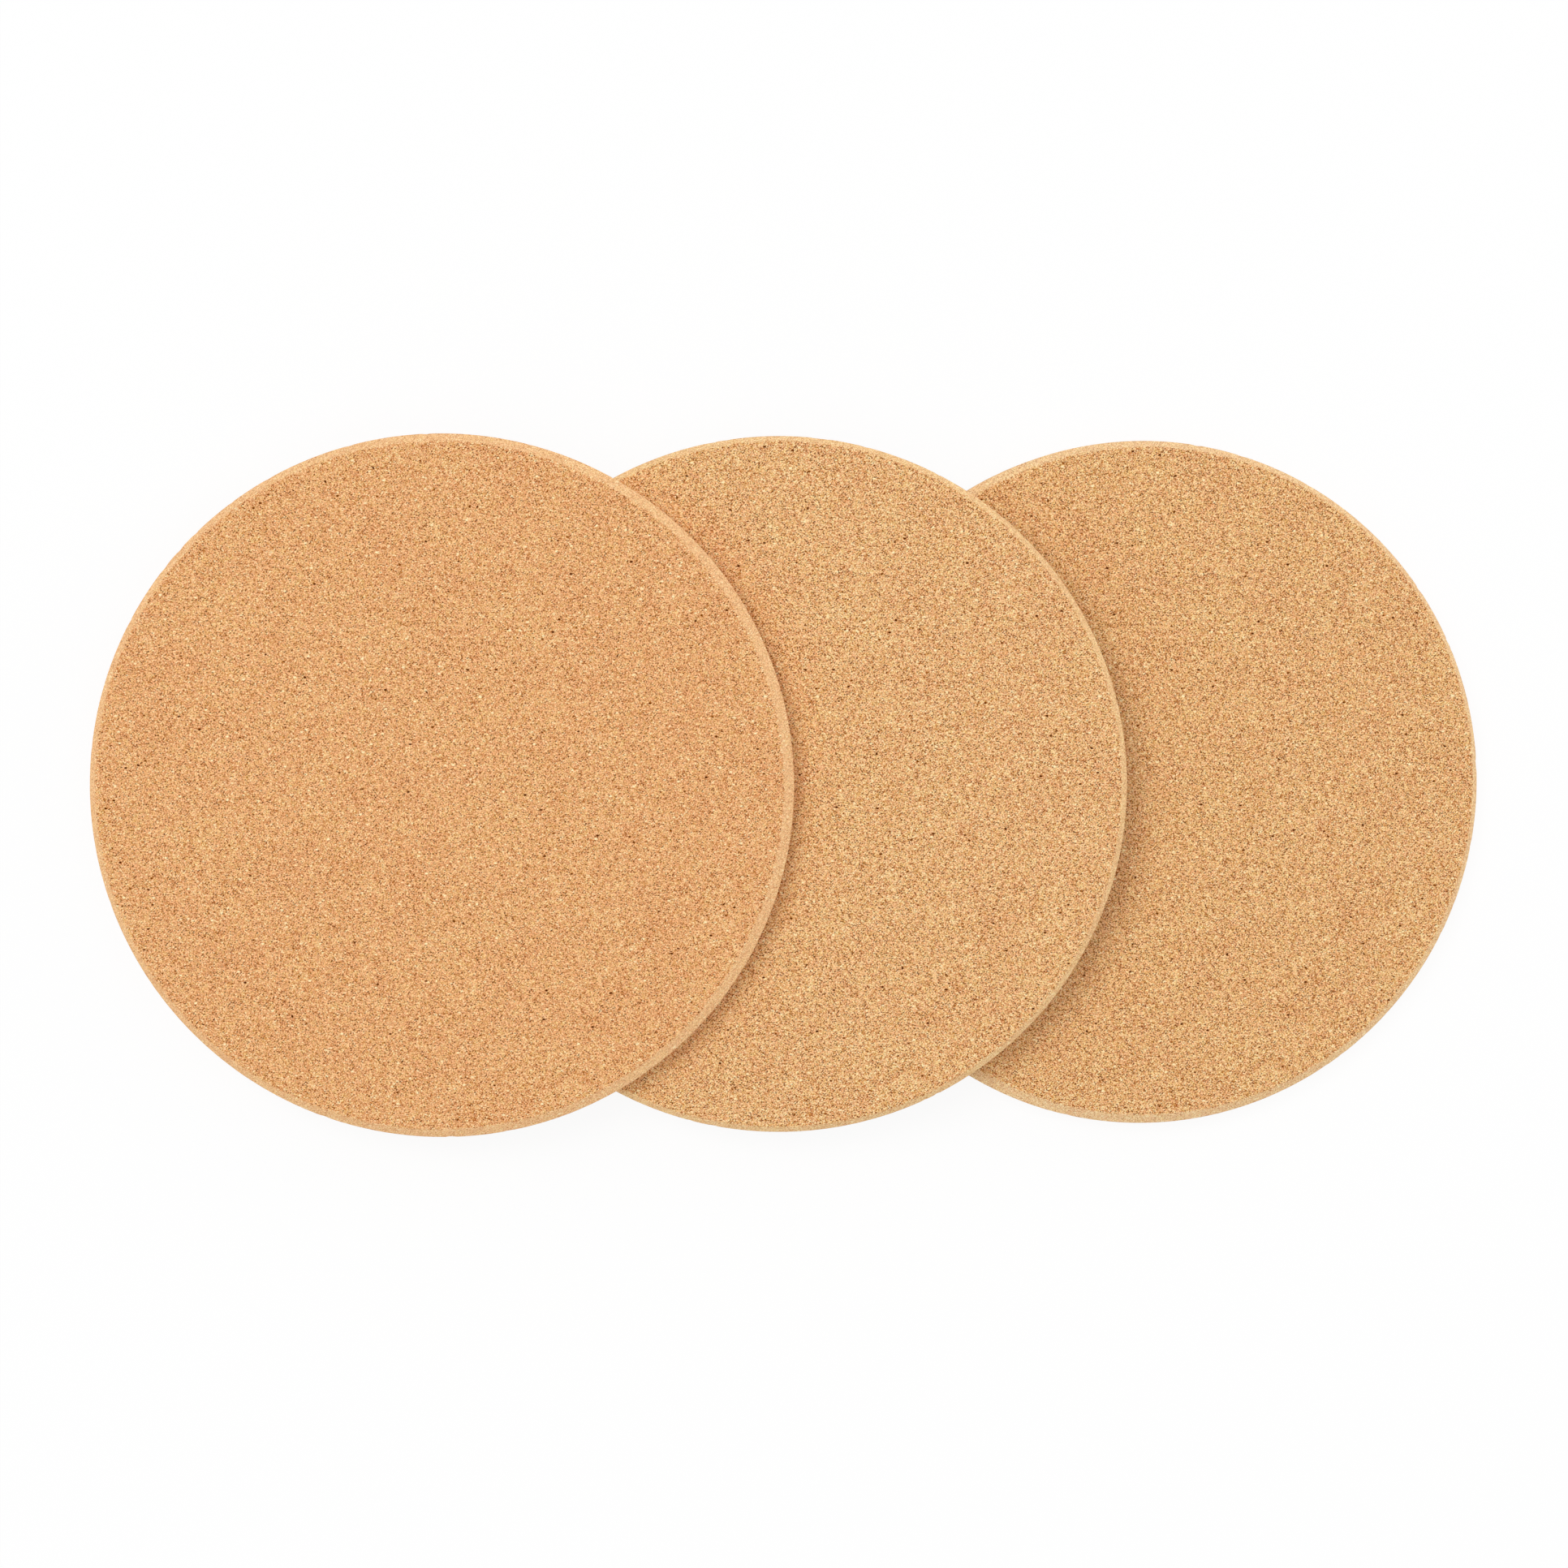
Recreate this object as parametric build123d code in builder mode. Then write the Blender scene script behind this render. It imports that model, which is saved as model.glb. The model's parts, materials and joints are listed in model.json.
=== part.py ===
from build123d import *
import os
from math import asin, atan2, cos, degrees, hypot, sin

# Set of three equal round trivets of pressed cork, fanned out in a row on a table.
# The lower trivet lies flat. The middle one stands on the table with one edge and leans
# on the rim of the lower one. The upper one lies flush on the face of the middle one.
# Millimetres, +Z up, +X along the row towards the lower trivet. The origin is the middle
# of the row, on the table.

# Trivet
trivet_diameter = 190.0
trivet_thickness = 10.0
rim_bevel = 2.0  # across and down, along the upper and the lower edge of the rim

# Row
foot_reach = 100.0  # from the lower trivet's rim to where the middle one stands on the table
upper_step = 91.0  # from the middle trivet's centre to the upper one's, along its face
seat_clearance = 0.2  # left between two trivets where one rests on the other

# Flat part of a face, inside the bevel
trivet_radius = trivet_diameter / 2
face_radius = trivet_radius - rim_bevel

# Lean of the middle trivet: the edge of its underside stands on the table, and the underside
# passes the edge of the lower trivet's upper face at the seat clearance.
lean_run = foot_reach + rim_bevel
lean_slack = asin(seat_clearance / hypot(lean_run, trivet_thickness))
lean_angle = atan2(trivet_thickness, lean_run) + lean_slack
up_the_lean = Vector(cos(lean_angle), 0, sin(lean_angle))
out_of_the_lean = Vector(-sin(lean_angle), 0, cos(lean_angle))

# Centres of the undersides, measured from the lower trivet's
foot = Vector(-trivet_radius - foot_reach, 0, 0)
middle_base = foot + up_the_lean * face_radius
upper_rise = trivet_thickness + seat_clearance
upper_base = middle_base - up_the_lean * upper_step + out_of_the_lean * upper_rise

# Middle of the row: halfway between the upper trivet's far end and the lower one's
upper_centre = upper_base + out_of_the_lean * (trivet_thickness / 2)
wall_height = trivet_thickness - 2 * rim_bevel
leaning_half_width = trivet_radius * cos(lean_angle) + wall_height / 2 * sin(lean_angle)
row_left = upper_centre.X - leaning_half_width
row_right = trivet_radius
row_middle = Vector((row_left + row_right) / 2, 0, 0)

# The plane that each trivet's underside lies in
undersides = {
    "lower_trivet": Plane(origin=-row_middle),
    "middle_trivet": Plane(middle_base - row_middle, x_dir=up_the_lean, z_dir=out_of_the_lean),
    "upper_trivet": Plane(upper_base - row_middle, x_dir=up_the_lean, z_dir=out_of_the_lean),
}


def make_trivet(name, underside):
    """Returns one cork disc on the given plane, with both edges of its rim bevelled."""
    with BuildPart() as trivet:
        with BuildSketch(underside):
            Circle(trivet_radius)
        extrude(amount=trivet_thickness)
        chamfer(trivet.edges().filter_by(GeomType.CIRCLE), rim_bevel)
    trivet.part.label = name
    return trivet.part


os.makedirs("parts", exist_ok=True)
for name, underside in undersides.items():
    export_step(make_trivet(name, underside), f"parts/{name}.step")

print(f"row {row_right - row_left:.2f} mm long, lean {degrees(lean_angle):.2f} degrees")
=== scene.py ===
"""Looks of a fanned set of round cork trivets: pressed grain, pits darkened by painted shade, sanded
rims paled by dust and a painted highlight, and a plain white studio.
"""

import json
import logging
import math
import random
from dataclasses import dataclass
from enum import Enum

import bmesh
import bpy
from mathutils import Matrix, Vector, kdtree, noise


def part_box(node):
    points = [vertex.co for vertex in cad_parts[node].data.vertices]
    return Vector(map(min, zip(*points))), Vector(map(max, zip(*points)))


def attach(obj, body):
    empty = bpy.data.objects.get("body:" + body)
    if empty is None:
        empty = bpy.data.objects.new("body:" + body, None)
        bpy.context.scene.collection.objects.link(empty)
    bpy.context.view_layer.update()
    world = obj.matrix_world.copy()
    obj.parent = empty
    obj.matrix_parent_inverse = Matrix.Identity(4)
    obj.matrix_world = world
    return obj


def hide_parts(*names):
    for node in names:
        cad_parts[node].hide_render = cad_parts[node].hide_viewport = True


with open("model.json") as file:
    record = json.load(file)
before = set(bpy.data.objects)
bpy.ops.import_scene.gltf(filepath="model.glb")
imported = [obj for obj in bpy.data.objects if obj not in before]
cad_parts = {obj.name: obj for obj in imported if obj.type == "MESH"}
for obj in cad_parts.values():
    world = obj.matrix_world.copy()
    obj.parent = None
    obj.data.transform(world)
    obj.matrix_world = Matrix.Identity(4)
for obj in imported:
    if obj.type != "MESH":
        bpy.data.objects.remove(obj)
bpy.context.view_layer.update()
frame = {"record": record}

MM = 0.001
PIT = "pit"
Colour = tuple[float, float, float, float]
WHITE: Colour = (1.0, 1.0, 1.0, 1.0)
log = logging.getLogger("trivets")


def paint(red: int, green: int, blue: int) -> Colour:
    """Turns a colour as it looks on screen into the linear colour that a shader takes.

    Args:
        red: Red from 0 to 255.
        green: Green from 0 to 255.
        blue: Blue from 0 to 255.

    Returns:
        Linear red, green, blue and a full alpha.
    """
    shares = [value / 255 for value in (red, green, blue)]
    linear = [s / 12.92 if s <= 0.04045 else ((s + 0.055) / 1.055) ** 2.4 for s in shares]
    return (*linear, 1.0)


class Signal:
    """A shader value, on which plain arithmetic adds Math nodes."""

    def __init__(self, graph: "Graph", socket: bpy.types.NodeSocket) -> None:
        """Keeps the graph that new nodes go into and the socket that holds the value."""
        self.graph = graph
        self.socket = socket

    def _math(self, operation: str, first: "Signal | float", second: "Signal | float") -> "Signal":
        """Adds one Math node.

        Args:
            operation: The node's operation.
            first: Its first value.
            second: Its second value.

        Returns:
            The node's result.
        """
        node = self.graph.add("ShaderNodeMath", {"operation": operation}, {0: first, 1: second})
        return Signal(self.graph, node.outputs[0])

    def __add__(self, other: "Signal | float") -> "Signal":
        """Sum."""
        return self._math("ADD", self, other)

    def __radd__(self, other: float) -> "Signal":
        """Sum, with the number first."""
        return self._math("ADD", other, self)

    def __sub__(self, other: "Signal | float") -> "Signal":
        """Difference."""
        return self._math("SUBTRACT", self, other)

    def __rsub__(self, other: float) -> "Signal":
        """Difference, with the number first."""
        return self._math("SUBTRACT", other, self)

    def __mul__(self, other: "Signal | float") -> "Signal":
        """Product."""
        return self._math("MULTIPLY", self, other)

    def __rmul__(self, other: float) -> "Signal":
        """Product, with the number first."""
        return self._math("MULTIPLY", other, self)

    def larger(self, other: "Signal | float") -> "Signal":
        """The larger of two values."""
        return self._math("MAXIMUM", self, other)

    def step(self, low: float, high: float) -> "Signal":
        """Rises smoothly from 0 to 1.

        Args:
            low: Value where the result is still 0, or the higher one for a falling step.
            high: Value where the result has reached 1.

        Returns:
            The stepped value.
        """
        settings = {"interpolation_type": "SMOOTHSTEP"}
        sockets = {"Value": self, "From Min": low, "From Max": high}
        node = self.graph.add("ShaderNodeMapRange", settings, sockets)
        return Signal(self.graph, node.outputs[0])


@dataclass(frozen=True)
class Grain:
    """What one layer of cork granules gives at a point.

    Attributes:
        lot: Three even random values from 0 to 1, the same all over one granule.
        depth: Distance from the granule's middle, in granules.
    """

    lot: tuple[Signal, Signal, Signal]
    depth: Signal


class Graph:
    """A node tree, with one way to add a node."""

    def __init__(self, tree: bpy.types.NodeTree) -> None:
        """Empties the tree and keeps it."""
        self.tree = tree
        tree.nodes.clear()

    def add(
        self, kind: str, settings: dict[str, object] | None = None, sockets: dict | None = None
    ) -> bpy.types.Node:
        """Adds a node.

        Args:
            kind: The node's type.
            settings: Values set on the node first; a colour ramp takes its stops as "stops".
            sockets: Number, colour or link for each input, by its name or place.

        Returns:
            The node.
        """
        node = self.tree.nodes.new(kind)
        for name, value in (settings or {}).items():
            if name == "stops":
                self._set_stops(node.color_ramp, value)
            else:
                setattr(node, name, value)
        for key, value in (sockets or {}).items():
            if isinstance(value, Signal):
                value = value.socket
            if isinstance(value, bpy.types.NodeSocket):
                self.tree.links.new(value, node.inputs[key])
            else:
                node.inputs[key].default_value = value
        return node

    @staticmethod
    def _set_stops(ramp: bpy.types.ColorRamp, stops: list[tuple[float, Colour]]) -> None:
        """Gives a colour ramp its stops.

        Args:
            ramp: The ramp, with fewer stops so far.
            stops: Place from 0 to 1 and colour of each stop, in rising order.
        """
        while len(ramp.elements) < len(stops):
            ramp.elements.new(1.0)
        for element, (position, colour) in zip(ramp.elements, stops):
            element.position = position
            element.color = colour

    def grain(self, place: bpy.types.NodeSocket, size: float) -> Grain:
        """Adds a layer of granules.

        Args:
            place: Point on the piece, in millimetres.
            size: Width of a granule, in millimetres.

        Returns:
            The layer's values.
        """
        cells = self.add("ShaderNodeTexVoronoi", {}, {"Vector": place, "Scale": 1 / size})
        parts = self.add("ShaderNodeSeparateColor", {}, {0: cells.outputs["Color"]})
        lot = tuple(Signal(self, parts.outputs[channel]) for channel in range(3))
        return Grain(lot, Signal(self, cells.outputs["Distance"]))

    def cloud(self, place: bpy.types.NodeSocket, size: float, detail: float = 2.0) -> Signal:
        """Adds soft noise.

        Args:
            place: Point on the piece, in millimetres.
            size: Width of a patch, in millimetres.
            detail: Octaves of finer noise.

        Returns:
            The noise, about 0.5.
        """
        sockets = {"Vector": place, "Scale": 1 / size, "Detail": detail}
        return Signal(self, self.add("ShaderNodeTexNoise", {}, sockets).outputs[0])

    def ramp(self, value: Signal, stops: list[tuple[float, Colour]]) -> bpy.types.NodeSocket:
        """Adds a colour ramp and returns its colour."""
        return self.add("ShaderNodeValToRGB", {"stops": stops}, {0: value}).outputs[0]

    def mix(self, share: Signal, first: object, second: object) -> bpy.types.NodeSocket:
        """Mixes two colours.

        Args:
            share: Share of the second colour.
            first: Colour or link at share 0.
            second: Colour or link at share 1.

        Returns:
            The mixed colour.
        """
        node = self.add("ShaderNodeMix", {"data_type": "RGBA"}, {0: share, 6: first, 7: second})
        return node.outputs[2]


@dataclass(frozen=True)
class Placement:
    """Where a trivet lies.

    Attributes:
        centre: Its centre.
        normal: The way its upper face looks.
    """

    centre: Vector
    normal: Vector

    @property
    def lean(self) -> float:
        """Turn about Y, in radians, that takes a level trivet to this one."""
        return math.atan2(self.normal.x, self.normal.z)

    @property
    def matrix(self) -> Matrix:
        """Takes a point of a level trivet about the origin to its place."""
        return Matrix.Translation(self.centre) @ Matrix.Rotation(self.lean, 4, "Y")


@dataclass(frozen=True)
class Ring:
    """A level circle on a trivet.

    Attributes:
        centre: Its middle, from the trivet's own centre.
        radius: Its radius, in metres.
    """

    centre: Vector
    radius: float

    def moved(self, vert: bmesh.types.BMVert, target: "Ring") -> Vector:
        """Place on another ring, in the direction that a corner lies in on this one.

        Args:
            vert: Corner on this ring.
            target: The other ring.

        Returns:
            The corner's place there.
        """
        aside = vert.co - self.centre
        aside.z = 0.0
        return target.centre + aside.normalized() * target.radius


class Tone(Enum):
    """The two shades of cork that are pressed together, each from its darkest to its palest."""

    RUSSET = ((142, 55, 0), (216, 138, 74), (230, 163, 110), (252, 190, 133), (254, 220, 175))
    STRAW = ((144, 72, 0), (219, 160, 75), (234, 184, 111), (252, 211, 136), (253, 238, 182))

    def stops(self) -> list[tuple[float, Colour]]:
        """The shades as the stops of a colour ramp."""
        places = (0.0, 0.3, 0.5, 0.7, 1.0)
        return [(place, paint(*shade)) for place, shade in zip(places, self.value)]


@dataclass(frozen=True)
class Spread:
    """How far each layer of the cork takes a value away from its middle.

    Attributes:
        fine: From one fine granule to the next.
        coarse: From one coarse granule to the next.
        patch: From one patch of like granules to the next.
        drift: Over a wider stretch of the trivet.
    """

    fine: float
    coarse: float
    patch: float
    drift: float


@dataclass(frozen=True)
class SpotLayer:
    """A layer of small spots, longer than wide, that all lie in one direction.

    Attributes:
        turn: Direction of the spots, in radians.
        size: Length of a cell that may hold a spot, in millimetres.
        specks: How often a dark speck comes up here, against the finish's own share.
        flecks: How often a pale fleck comes up here, against the finish's own share.
        slim: How much narrower a spot is than long, along X, Y and Z.
        edge: Distance from a cell's middle, in cells, where its spot ends.
        core: Distance from a cell's middle, in cells, where its spot reaches full strength.
    """

    turn: float
    size: float
    specks: float
    flecks: float
    slim: tuple[float, float, float] = (1.0, 1.5, 1.2)
    edge: float = 0.44
    core: float = 0.2


SMALL_SPOTS = SpotLayer(turn=0.5, size=0.66, specks=7.0, flecks=10.5)
LARGE_SPOTS = SpotLayer(turn=2.1, size=1.3, specks=0.2, flecks=2.0)


@dataclass(frozen=True)
class CorkFinish:
    """Pressed cork: granules of mixed shades, dark specks, pale flecks, painted shade in pits and a
    sanded rim paled by dust and a painted highlight.

    Lengths are in millimetres.

    Attributes:
        straw: Share of straw-coloured granules among the russet ones.
        depth: How much deeper the shades are than usual.
        contrast: How far the granules' shades spread.
        specks: Share of cells that hold a dark speck, before a layer's own factor.
        flecks: Share of cells that hold a pale fleck, before a layer's own factor.
        dust_and_highlight: Colour of the cork dust that pales the cut rim, made paler still as a
            painted highlight on the bevels and wall.
        fine: Width of a fine granule.
        coarse: Width of a coarse granule.
        patch: Width of a patch of like granules.
        drift: Width of a wider change of shade.
        shade: How the layers move a granule from dark to pale.
        hue: How the layers move a granule from russet to straw.
        wander: Length over which the rim's inner edge wanders in and out.
        ragged: Half the width of that edge.
        spots: The layers of specks and flecks.
        fleck_colour: Palest granules.
        bark_and_pit_shade_colour: Edge of a dark speck, and the lighter painted shade in a pit.
        char_and_pit_shade_colour: Middle of a dark speck, and the deepest painted shade in a pit.
        relief: Height of the granules.
        relief_strength: Share of that height that the light shows.
        gloss: Strength of the reflections on the bare cork.
    """

    straw: float
    depth: float
    contrast: float
    specks: float
    flecks: float
    dust_and_highlight: Colour
    fine: float = 0.16
    coarse: float = 0.55
    patch: float = 2.5
    drift: float = 14.0
    shade: Spread = Spread(fine=0.85, coarse=0.03, patch=0.08, drift=0.06)
    hue: Spread = Spread(fine=0.4, coarse=1.0, patch=0.7, drift=0.4)
    wander: float = 6.0
    ragged: float = 0.25
    spots: tuple[SpotLayer, ...] = (SMALL_SPOTS, LARGE_SPOTS)
    fleck_colour: Colour = paint(255, 238, 190)
    bark_and_pit_shade_colour: Colour = paint(170, 92, 12)
    char_and_pit_shade_colour: Colour = paint(80, 30, 0)
    relief: float = 0.1
    relief_strength: float = 0.3
    gloss: float = 0.12

    def material(self, name: str, place: Placement, face: Ring) -> bpy.types.Material:
        """Makes the material of one trivet.

        Args:
            name: The material's name.
            place: Where the trivet lies.
            face: Edge of the trivet's flat face, where the bevel starts.

        Returns:
            The material.
        """
        cork = bpy.data.materials.new(name)
        cork.use_nodes = True
        graph = Graph(cork.node_tree)
        local = self._local(graph, place)
        fine = graph.grain(local, self.fine)
        coarse = graph.grain(local, self.coarse)
        rim = self._rim(graph, local, fine, face)
        speck, fleck = self._spots(graph, local)
        pit = graph.add("ShaderNodeAttribute", {"attribute_name": PIT}).outputs["Fac"]
        # Painted shade at the bottom of the pits, darker in deeper pits.
        pit_shade = 0.85 * Signal(graph, pit).step(0.3, 1.0)
        # Sanding takes specks off the rim and leaves dust on some of its granules; that dust is made
        # paler still as a painted highlight on the bevels and wall.
        dark = (speck * (1 - 0.6 * rim)).larger(pit_shade)
        dust_and_highlight_share = (0.12 + 0.46 * fine.lot[1]) * rim
        colour = self._granules(graph, local, fine, coarse)
        colour = graph.mix(fleck, colour, self.fleck_colour)
        colour = graph.mix(dust_and_highlight_share, colour, self.dust_and_highlight)
        colour = graph.mix(dark.step(0.1, 0.6), colour, self.bark_and_pit_shade_colour)
        colour = graph.mix(dark.step(0.4, 0.9), colour, self.char_and_pit_shade_colour)
        dome = 0.6 * fine.lot[2] - 0.5 * fine.depth
        sockets = {
            "Strength": self.relief_strength,
            "Distance": self.relief * MM,
            "Height": dome * (1 - 0.5 * rim) - 1.5 * speck,
        }
        bump = graph.add("ShaderNodeBump", {}, sockets)
        sockets = {
            "Base Color": colour,
            "Roughness": 0.8 + 0.14 * fine.lot[1],
            "Specular IOR Level": self.gloss,
            "Normal": bump.outputs[0],
        }
        shader = graph.add("ShaderNodeBsdfPrincipled", {}, sockets)
        graph.add("ShaderNodeOutputMaterial", {}, {"Surface": shader.outputs[0]})
        return cork

    @staticmethod
    def _local(graph: Graph, place: Placement) -> bpy.types.NodeSocket:
        """Finds the point on the trivet as if the trivet lay level about the origin.

        Args:
            graph: The material's graph.
            place: Where the trivet lies.

        Returns:
            The point, in millimetres from the trivet's centre.
        """
        point = graph.add("ShaderNodeTexCoord").outputs["Object"]
        sockets = {
            "Vector": point,
            "Location": place.centre,
            "Rotation": (0.0, place.lean, 0.0),
            "Scale": (MM, MM, MM),
        }
        return graph.add("ShaderNodeMapping", {"vector_type": "TEXTURE"}, sockets).outputs[0]

    def _granules(
        self, graph: Graph, local: bpy.types.NodeSocket, fine: Grain, coarse: Grain
    ) -> bpy.types.NodeSocket:
        """Colours the granules.

        Args:
            graph: The material's graph.
            local: Point on the trivet.
            fine: The layer of fine granules.
            coarse: The layer of coarse granules.

        Returns:
            The colour.
        """
        patch = graph.cloud(local, self.patch) - 0.5
        drift = graph.cloud(local, self.drift) - 0.5
        grain = fine.lot[0].step(0.05, 0.95) - 0.5
        shade = self.shade.fine * grain + self.shade.coarse * (coarse.lot[0] - 0.5)
        tone = 0.5 - self.depth + self.contrast * shade
        tone = tone + self.shade.patch * patch + self.shade.drift * drift
        kind = 0.6 * coarse.lot[0] + 0.4 * coarse.lot[1] - 0.5
        hue = self.straw + self.hue.coarse * kind + self.hue.fine * (fine.lot[1] - 0.5)
        hue = hue + self.hue.patch * patch + self.hue.drift * drift
        russet = graph.ramp(tone, Tone.RUSSET.stops())
        straw = graph.ramp(tone, Tone.STRAW.stops())
        return graph.mix(hue, russet, straw)

    def _rim(self, graph: Graph, local: bpy.types.NodeSocket, fine: Grain, face: Ring) -> Signal:
        """How far a point lies on the cut rim, with an edge that follows the granules.

        Args:
            graph: The material's graph.
            local: Point on the trivet.
            fine: The layer of fine granules.
            face: Edge of the trivet's flat face.

        Returns:
            0 on the faces, 1 on the bevels and the wall.
        """
        level = {0: local, 1: (1.0, 1.0, 0.0)}
        flat = graph.add("ShaderNodeVectorMath", {"operation": "MULTIPLY"}, level)
        ends = {0: flat.outputs[0], 1: face.centre / MM}
        reach = graph.add("ShaderNodeVectorMath", {"operation": "DISTANCE"}, ends)
        wander = graph.cloud(local, self.wander) - 0.5
        edge = Signal(graph, reach.outputs["Value"]) + 0.5 * (fine.lot[2] - 0.5) + 0.8 * wander
        start = face.radius / MM
        return edge.step(start - self.ragged, start + self.ragged)

    def _spots(self, graph: Graph, local: bpy.types.NodeSocket) -> tuple[Signal, Signal]:
        """Scatters the specks and flecks.

        Args:
            graph: The material's graph.
            local: Point on the trivet.

        Returns:
            Dark specks and pale flecks, each up to 1 in the middle of a spot and 0 outside.
        """
        specks = []
        flecks = []
        blur = 0.005
        for layer in self.spots:
            turn = (0.0, 0.0, layer.turn)
            sockets = {"Vector": local, "Rotation": turn, "Scale": layer.slim}
            stretched = graph.add("ShaderNodeMapping", {"vector_type": "POINT"}, sockets)
            cells = graph.grain(stretched.outputs[0], layer.size)
            spot = cells.depth.step(layer.edge, layer.core)
            lowest_speck = 1 - layer.specks * self.specks
            highest_fleck = layer.flecks * self.flecks
            dark = cells.lot[0].step(lowest_speck - blur, lowest_speck + blur)
            pale = cells.lot[0].step(highest_fleck + blur, highest_fleck - blur)
            specks.append(spot * (dark * (0.7 + 0.3 * cells.lot[1])))
            flecks.append(spot * (pale * (0.6 + 0.4 * cells.lot[1])))
        return specks[0].larger(specks[1]), flecks[0].larger(flecks[1])


# Each finish's rim colour is partly the cork dust of the sanded rim and partly a painted highlight
# that brightens the bevels.
LOWER_CORK = CorkFinish(
    straw=0.38, depth=-0.01, contrast=1.04, specks=0.09, flecks=0.027, dust_and_highlight=paint(255, 229, 184)
)
MIDDLE_CORK = CorkFinish(
    straw=0.34, depth=-0.028, contrast=1.04, specks=0.084, flecks=0.028, dust_and_highlight=paint(255, 225, 172)
)
UPPER_CORK = CorkFinish(
    straw=0.18, depth=0.006, contrast=0.92, specks=0.057, flecks=0.022, dust_and_highlight=paint(255, 218, 167)
)


@dataclass
class Trivet:
    """One disc of pressed cork, with bevelled edges, small pits and chipped corners.

    Attributes:
        node: CAD node that it stands for.
        body: CAD body that it moves with.
        slot: Material slot of the record.
        place: Where it lies.
        radius: Radius at the rim's middle, in metres.
        thickness: Height from face to face, in metres.
        finish: Its cork.
        bevel: Width of the bevels across the face, on average.
        bevel_shift: How far the bevels' inner edge lies off the trivet's centre, along X and Y.
        seed: Start of its random draws.
        bevel_drop: Height of the bevels.
        worn: How far the edges of a bevel are worn round.
        cuts: Corners along each of the six sides that the face is drawn from.
        pits: Places tried for a pit, on both faces together.
        pit_slope: Width of a pit's sloping side.
        pit_depths: Depths that the pits come in.
        chips: Chips along the bevels' edges.
        chip_width: Smallest and largest reach of a chip.
        chip_depth: Smallest and largest depth of a chip.
        relief: Depth of the hollows between granules.
    """

    node: str
    body: str
    slot: str
    place: Placement
    radius: float
    thickness: float
    finish: CorkFinish
    bevel: float
    bevel_shift: tuple[float, float]
    seed: int
    bevel_drop: float = 2.0 * MM
    worn: float = 0.12 * MM
    cuts: int = 111
    pits: int = 120
    pit_slope: float = 0.2 * MM
    pit_depths: tuple[float, ...] = (0.1 * MM, 0.16 * MM, 0.24 * MM)
    chips: int = 90
    chip_width: tuple[float, float] = (0.5 * MM, 1.5 * MM)
    chip_depth: tuple[float, float] = (0.05 * MM, 0.2 * MM)
    relief: float = 0.05 * MM

    def build(self) -> bpy.types.Object:
        """Models and dresses the trivet.

        Returns:
            The finished object, riding on its body.
        """
        draw = random.Random(self.seed)
        shape = bmesh.new()
        self._lay_face(shape)
        self._cut_rim(shape)
        self._close(shape)
        self._sink_pits(shape, draw)
        self._roughen(shape)
        self._chip_rim(shape, draw)
        bmesh.ops.transform(shape, matrix=self.place.matrix, verts=shape.verts)
        for face in shape.faces:
            face.smooth = True
        mesh = bpy.data.meshes.new(self.node + "_cork")
        shape.to_mesh(mesh)
        shape.free()
        piece = bpy.data.objects.new(self.node + "_cork", mesh)
        bpy.context.scene.collection.objects.link(piece)
        mesh.materials.append(self.finish.material(self.slot, self.place, self._ring(self.bevel)))
        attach(piece, self.body)
        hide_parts(self.node)
        return piece

    def _ring(self, inset: float) -> Ring:
        """The circle at a distance in from the rim, off centre as far as the bevel's edge is."""
        share = min(inset / self.bevel, 1.0)
        return Ring(Vector((*self.bevel_shift, 0.0)) * share, self.radius - inset)

    def _sheet_edge(self) -> Ring:
        """Edge of the sheet that the face starts from, just inside the bevel."""
        return self._ring(self.bevel + 3 * self.worn)

    def _lay_face(self, shape: bmesh.types.BMesh) -> None:
        """Lays the upper face as a sheet of even triangles: a split hexagon drawn out to a circle.

        Args:
            shape: The trivet, still empty.
        """
        edge = self._sheet_edge()
        bmesh.ops.create_circle(shape, cap_ends=True, cap_tris=True, segments=6, radius=edge.radius)
        bmesh.ops.subdivide_edges(shape, edges=shape.edges[:], cuts=self.cuts, use_grid_fill=True)
        sector = math.pi / 3
        for vert in shape.verts:
            angle = math.atan2(vert.co.y, vert.co.x) - math.pi / 2
            aside = angle % sector - sector / 2
            vert.co *= math.cos(aside) / math.cos(sector / 2)
        lift = Vector((0.0, 0.0, self.thickness / 2))
        bmesh.ops.translate(shape, vec=edge.centre + lift, verts=shape.verts)

    def _profile(self) -> list[tuple[float, float]]:
        """Section of the rim, from the face's edge to the middle of the wall.

        Returns:
            Distance in from the rim and drop from the face, for each ring.
        """
        soft = 2 * self.worn
        slope = self.bevel_drop / self.bevel
        wall = self.thickness / 2 - self.bevel_drop
        insets = (self.bevel - soft, self.bevel * 2 / 3, self.bevel / 3, soft, self.worn)
        rings = [(self.bevel + soft, 0.0), (self.bevel, self.worn * slope / 2)]
        rings += [(inset, (self.bevel - inset) * slope) for inset in insets]
        rings += [(0.0, self.bevel_drop + below) for below in (self.worn, wall / 2, wall)]
        return rings

    def _cut_rim(self, shape: bmesh.types.BMesh) -> None:
        """Draws the face's edge out and down, over the bevel and halfway down the wall.

        Args:
            shape: The trivet, so far its upper face.
        """
        edges = [edge for edge in shape.edges if edge.is_boundary]
        last = self._sheet_edge()
        for inset, drop in self._profile():
            grown = bmesh.ops.extrude_edge_only(shape, edges=edges)["geom"]
            edges = [item for item in grown if isinstance(item, bmesh.types.BMEdge)]
            edges = [edge for edge in edges if edge.is_boundary]
            ring = self._ring(inset)
            for vert in {vert for edge in edges for vert in edge.verts}:
                vert.co = last.moved(vert, ring)
                vert.co.z = self.thickness / 2 - drop
            last = ring

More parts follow.
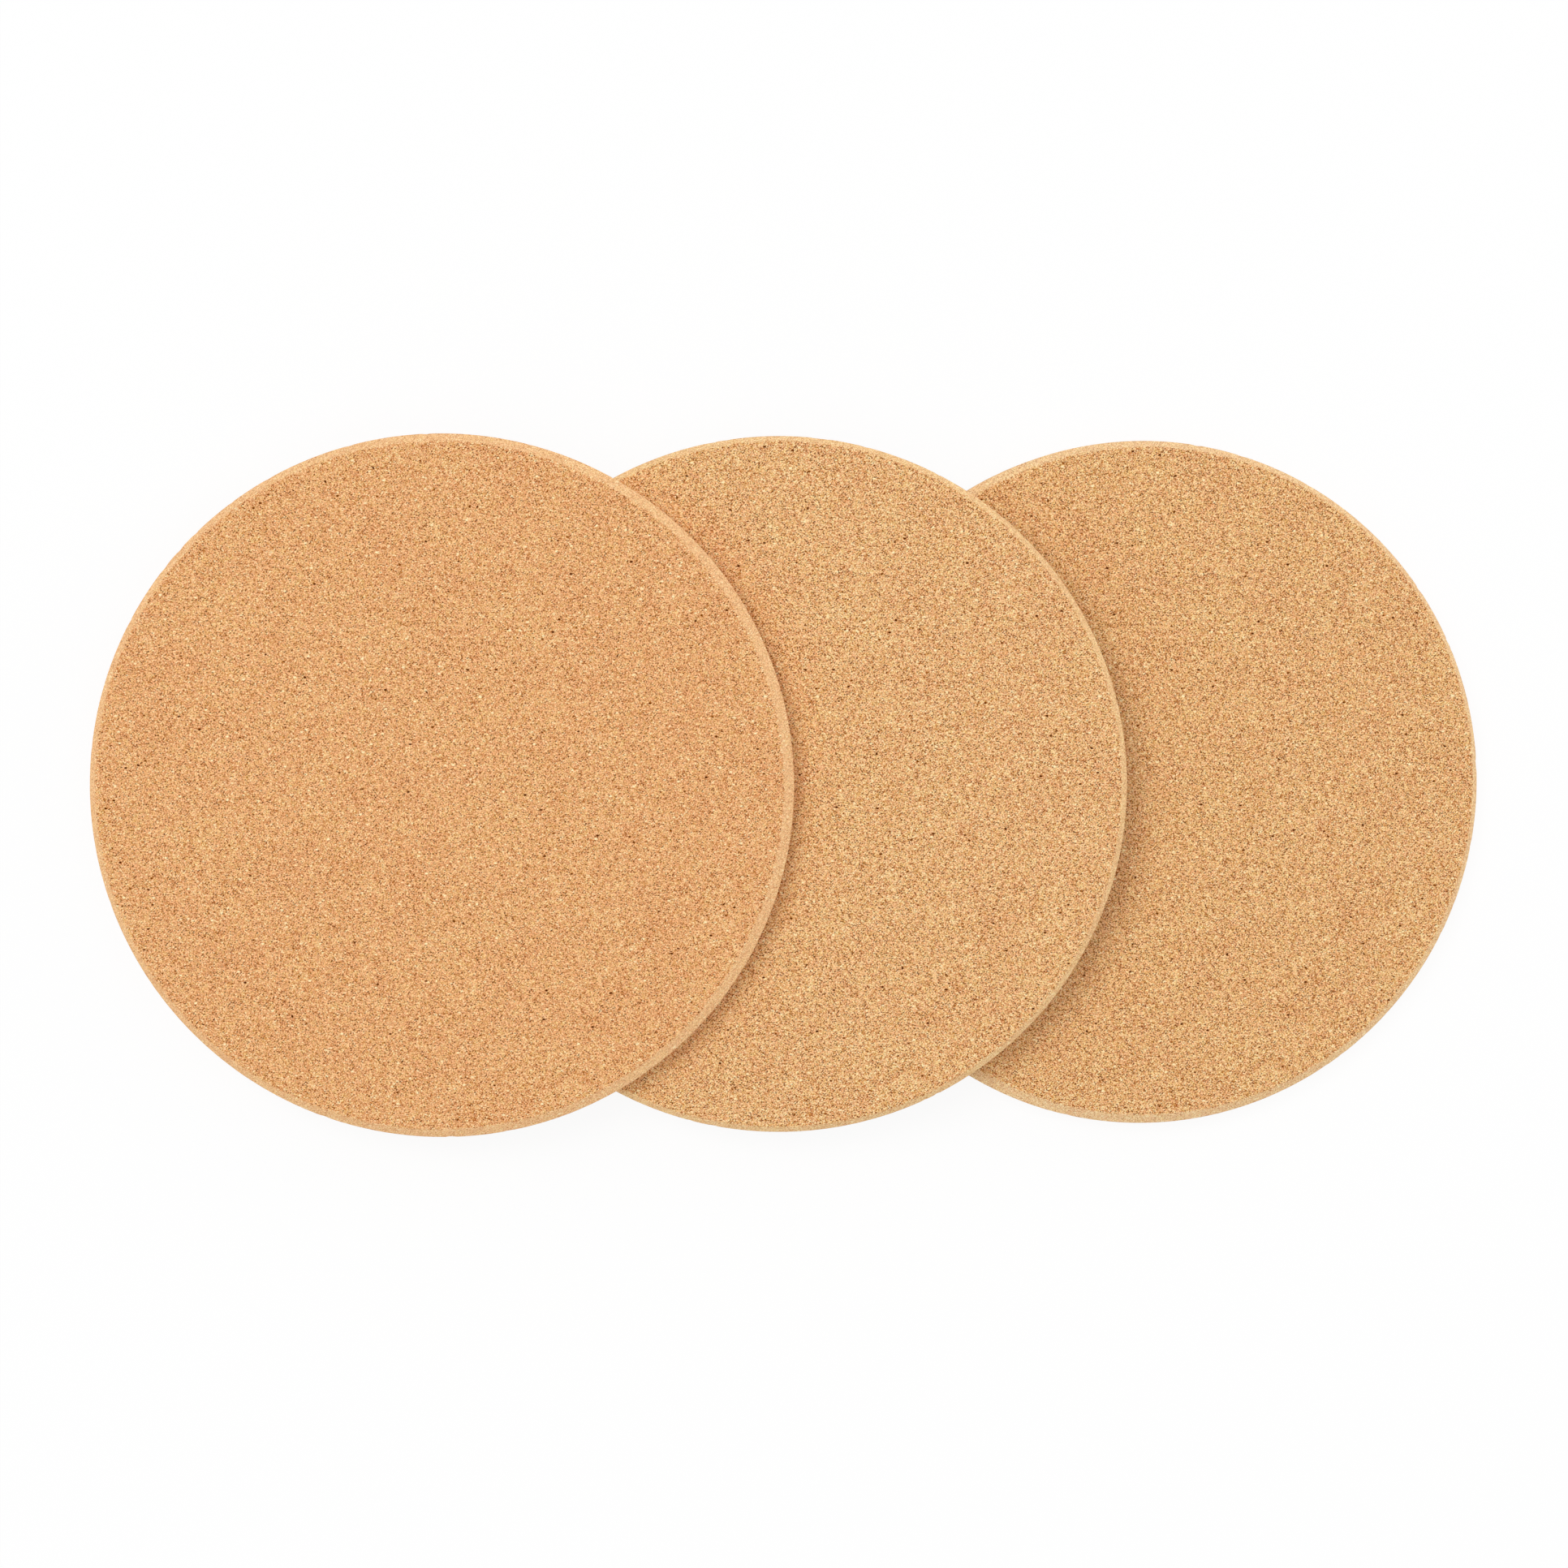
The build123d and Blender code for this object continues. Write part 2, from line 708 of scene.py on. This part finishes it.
    def _close(self, shape: bmesh.types.BMesh) -> None:
        """Mirrors the upper half to the lower one, and turns every face outwards.

        Args:
            shape: The trivet, so far its upper half.
        """
        half = shape.verts[:] + shape.edges[:] + shape.faces[:]
        level = Matrix.Identity(4)
        bmesh.ops.mirror(shape, geom=half, matrix=level, merge_dist=0.001 * MM, axis="Z")
        bmesh.ops.recalc_face_normals(shape, faces=shape.faces[:])

    def _sink_pits(self, shape: bmesh.types.BMesh, draw: random.Random) -> None:
        """Sinks short pits where granules have come out of the faces, and marks their bottoms, deeper
        pits more, for a painted shade.

        Args:
            shape: The trivet.
            draw: Source of random values.
        """
        pit_shade_mark = shape.verts.layers.float.new(PIT)
        inside = self.radius - 2 * self.bevel
        reach = [(edge, max(vert.co.xy.length for vert in edge.verts)) for edge in shape.edges]
        open_edges = [edge for edge, farthest in reach if farthest < inside]
        lots = [[] for _ in self.pit_depths]
        taken = set()
        for edge in draw.sample(open_edges, self.pits):
            near = {face for vert in edge.verts for face in vert.link_faces}
            if not taken & near:
                taken |= near
                draw.choice(lots).extend(edge.link_faces)
        for depth, faces in zip(self.pit_depths, lots):
            bmesh.ops.inset_region(
                shape, faces=faces, thickness=self.pit_slope, depth=-depth, use_even_offset=True
            )
            # Deeper pits get a stronger mark, and so a darker painted shade.
            for vert in {vert for face in faces for vert in face.verts}:
                vert[pit_shade_mark] = depth / max(self.pit_depths)

    def _roughen(self, shape: bmesh.types.BMesh) -> None:
        """Sinks the surface by a hair's breadth in soft granule-sized hollows.

        Args:
            shape: The trivet.
        """
        shape.normal_update()
        shift = Vector((self.seed * 3.7, self.seed * 1.3, 0.0))
        wide, narrow = 1.9 * MM, 0.9 * MM
        for vert in shape.verts:
            point = vert.co + shift * MM
            hollow = 0.5 + 0.32 * noise.noise(point / wide) + 0.18 * noise.noise(point / narrow)
            vert.co -= vert.normal * (self.relief * max(hollow, 0.0))

    def _chip_rim(self, shape: bmesh.types.BMesh, draw: random.Random) -> None:
        """Takes small chips out of the bevels' edges.

        Args:
            shape: The trivet.
            draw: Source of random values.
        """
        rim = [vert for vert in shape.verts if vert.co.xy.length > self.radius - 2 * self.bevel]
        tree = kdtree.KDTree(len(rim))
        for index, vert in enumerate(rim):
            tree.insert(vert.co, index)
        tree.balance()
        for _ in range(self.chips):
            angle = draw.uniform(0, 2 * math.pi)
            inset, drop = draw.choice(((self.bevel, 0.0), (0.0, self.bevel_drop)))
            ring = self._ring(inset)
            level = draw.choice((-1, 1)) * (self.thickness / 2 - drop)
            spoke = Vector((math.cos(angle), math.sin(angle), 0.0)) * ring.radius
            centre = ring.centre + spoke + Vector((0.0, 0.0, level))
            width = draw.uniform(*self.chip_width)
            depth = draw.uniform(*self.chip_depth)
            for _, index, distance in tree.find_range(centre, width):
                rim[index].co -= rim[index].normal * (depth * (1 - (distance / width) ** 2))


@dataclass(frozen=True)
class Lamp:
    """A square soft lamp, aimed at the middle of the row.

    Attributes:
        name: Its name.
        place: Its middle.
        side: Its side, in metres.
        power: Its power, in watts.
    """

    name: str
    place: tuple[float, float, float]
    side: float
    power: float

    def hang(self, scene: bpy.types.Scene) -> None:
        """Hangs the lamp in the scene.

        Args:
            scene: The scene.
        """
        light = bpy.data.lights.new(self.name, "AREA")
        light.shape = "SQUARE"
        light.size = self.side
        light.energy = self.power
        lamp = bpy.data.objects.new(self.name, light)
        lamp.location = self.place
        lamp.rotation_euler = Vector(self.place).to_track_quat("Z", "Y").to_euler()
        scene.collection.objects.link(lamp)


KEY_LAMP = Lamp("key_lamp", (-1.3, 0.9, 2.8), side=1.4, power=35.0)
RIM_LAMP = Lamp("rim_lamp", (1.3, 0.5, 0.4), side=0.5, power=3.3)


@dataclass
class Studio:
    """White floor, soft light and the camera.

    Attributes:
        floor_side: Side of the floor, in metres.
        floor_drop: How far the floor lies below the table plane, in metres.
        floor_shade: Share of the light that the floor throws back.
        floor_white: Share of the floor's look that is plain white rather than lit.
        sky: Strength of the even light from all round.
        lamps: The soft lamps.
        camera_place: Where the camera stands.
        camera_turn: Its turn about X, Y and Z in degrees, from looking straight down.
        lens: Focal length, in millimetres.
        film: Width of the frame that the lens is given for, in millimetres.
    """

    floor_side: float = 6.0
    floor_drop: float = 0.1 * MM
    floor_shade: float = 0.95
    floor_white: float = 0.9
    sky: float = 0.69
    lamps: tuple[Lamp, ...] = (KEY_LAMP, RIM_LAMP)
    camera_place: tuple[float, float, float] = (-0.1105, 0.0263, 1.0)
    camera_turn: tuple[float, float, float] = (-1.508, -6.141, -0.031)
    lens: float = 83.2
    film: float = 36.0

    def build(self) -> None:
        """Sets up the floor, the light and the camera."""
        scene = bpy.context.scene
        scene.view_settings.view_transform = "Standard"
        self._floor()
        self._sky(scene)
        for lamp in self.lamps:
            lamp.hang(scene)
        self._camera(scene)

    def _floor(self) -> None:
        """Lays a white floor that keeps the shadow of what stands on it."""
        shape = bmesh.new()
        bmesh.ops.create_grid(shape, x_segments=1, y_segments=1, size=self.floor_side / 2)
        bmesh.ops.translate(shape, vec=(0.0, 0.0, -self.floor_drop), verts=shape.verts)
        mesh = bpy.data.meshes.new("floor")
        shape.to_mesh(mesh)
        shape.free()
        floor = bpy.data.objects.new("floor", mesh)
        bpy.context.scene.collection.objects.link(floor)
        white = bpy.data.materials.new("floor_white")
        white.use_nodes = True
        graph = Graph(white.node_tree)
        shade = (self.floor_shade, self.floor_shade, self.floor_shade, 1.0)
        lit = graph.add("ShaderNodeBsdfDiffuse", {}, {"Color": shade})
        plain = graph.add("ShaderNodeEmission", {}, {"Color": WHITE, "Strength": 1.0})
        share = self.floor_white * self._seen(graph)
        both = graph.add("ShaderNodeMixShader", {}, {0: share, 1: lit.outputs[0], 2: plain.outputs[0]})
        graph.add("ShaderNodeOutputMaterial", {}, {"Surface": both.outputs[0]})
        mesh.materials.append(white)

    @staticmethod
    def _seen(graph: Graph) -> Signal:
        """Tells the rays that show the background from those that light the row.

        Args:
            graph: The graph of the floor's material or of the sky.

        Returns:
            1 for a ray from the camera, from a mirror or through glass, and 0 for any other.
        """
        path = graph.add("ShaderNodeLightPath")
        seen = Signal(graph, path.outputs["Is Camera Ray"])
        for name in ("Is Glossy Ray", "Is Transmission Ray"):
            seen = seen.larger(Signal(graph, path.outputs[name]))
        return seen

    def _sky(self, scene: bpy.types.Scene) -> None:
        """Lights the scene evenly from all round, behind a white background.

        Args:
            scene: The scene.
        """
        world = bpy.data.worlds.new("white_room")
        world.use_nodes = True
        scene.world = world
        graph = Graph(world.node_tree)
        strength = self.sky + (1.0 - self.sky) * self._seen(graph)
        background = graph.add("ShaderNodeBackground", {}, {"Color": WHITE, "Strength": strength})
        graph.add("ShaderNodeOutputWorld", {}, {"Surface": background.outputs[0]})

    def _camera(self, scene: bpy.types.Scene) -> None:
        """Stands the camera over the row.

        Args:
            scene: The scene.
        """
        view = bpy.data.cameras.new("camera")
        view.sensor_width = self.film
        view.lens = self.lens
        camera = bpy.data.objects.new("camera", view)
        camera.location = self.camera_place
        camera.rotation_euler = [math.radians(turn) for turn in self.camera_turn]
        scene.collection.objects.link(camera)
        scene.camera = camera


def face_normal(mount: str) -> Vector:
    """The way that a mount's face looks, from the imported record."""
    axes = {entry["name"]: entry["axis"] for entry in frame["record"]["mounts"]}
    return Vector(axes[mount]).normalized()


def lay_trivet(
    body: str,
    normal: Vector,
    finish: CorkFinish,
    bevel: float,
    bevel_shift: tuple[float, float],
    seed: int,
) -> Trivet:
    """Works out one trivet from the frame.

    Args:
        body: CAD body that it moves with.
        normal: The way its upper face looks.
        finish: Its cork.
        bevel: Width of its bevels.
        bevel_shift: How far their inner edge lies off centre, along X and Y.
        seed: Start of its random draws.

    Returns:
        The trivet.
    """
    flat_low, flat_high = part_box("lower_trivet")
    low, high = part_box(body + "_trivet")
    return Trivet(
        node=body + "_trivet",
        body=body,
        slot=body + "_cork",
        place=Placement((low + high) / 2, normal),
        radius=(flat_high.y - flat_low.y) / 2,
        thickness=flat_high.z - flat_low.z,
        finish=finish,
        bevel=bevel,
        bevel_shift=bevel_shift,
        seed=seed,
    )


def make_row() -> list[Trivet]:
    """Works out the three trivets.

    Returns:
        The trivets, from the one on the table up.
    """
    level = -face_normal("table_rest")
    leaning = face_normal("upper_pot_rest")
    return [
        lay_trivet("lower", level, LOWER_CORK, 2.2 * MM, (0.5 * MM, 0.3 * MM), seed=1),
        lay_trivet("middle", leaning, MIDDLE_CORK, 1.6 * MM, (0.0, 0.0), seed=2),
        lay_trivet("upper", leaning, UPPER_CORK, 2.3 * MM, (-0.5 * MM, 0.0), seed=3),
    ]


def main() -> None:
    """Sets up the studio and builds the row."""
    logging.basicConfig(level=logging.INFO, format="%(name)s: %(message)s")
    Studio().build()
    for trivet in make_row():
        piece = trivet.build()
        log.info("%s: %d faces", piece.name, len(piece.data.polygons))


if __name__ == "__main__":
    main()
